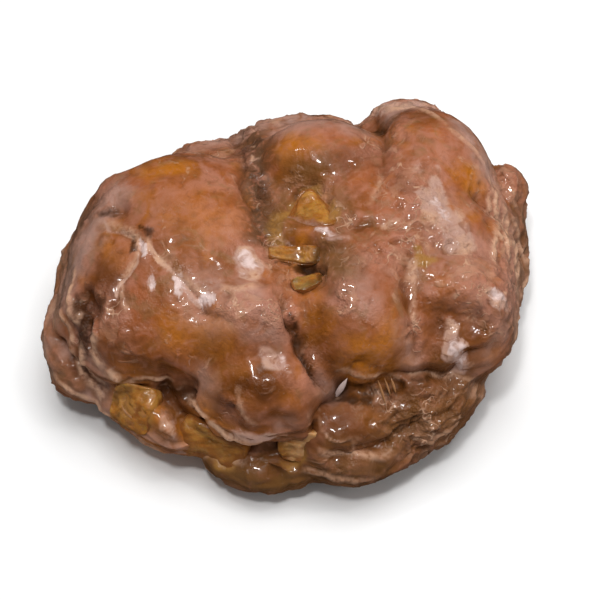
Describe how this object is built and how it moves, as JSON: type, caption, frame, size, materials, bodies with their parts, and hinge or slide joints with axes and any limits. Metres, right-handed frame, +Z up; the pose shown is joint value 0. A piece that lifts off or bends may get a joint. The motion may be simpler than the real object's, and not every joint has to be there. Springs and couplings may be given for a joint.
{
  "type": "apple fritter",
  "caption": "Glazed apple fritter: a knobbly oval of folded fried dough over a craggy lower layer, with diced apple showing in the cleft and along the front.",
  "frame": {"origin": "under the middle of the fritter's box, on the flat spot that it rests on", "axes": "+X along the length, -Y towards the front where the folds hang over the lower layer, +Z up"},
  "size_m": [0.13, 0.113, 0.046],
  "materials": {
    "glazed_dough": "brown fried crust under a clear, partly white sugar glaze",
    "cooked_apple": "translucent amber cooked apple, wet with glaze"
  },
  "bodies": {
    "root": {"dough": "glazed_dough", "apple_chunk_cleft_upper": "cooked_apple", "apple_chunk_cleft_lower": "cooked_apple", "apple_chunk_cleft_small": "cooked_apple", "apple_chunk_front_left": "cooked_apple", "apple_chunk_front": "cooked_apple", "apple_chunk_front_centre": "cooked_apple"}
  },
  "joints": []
}
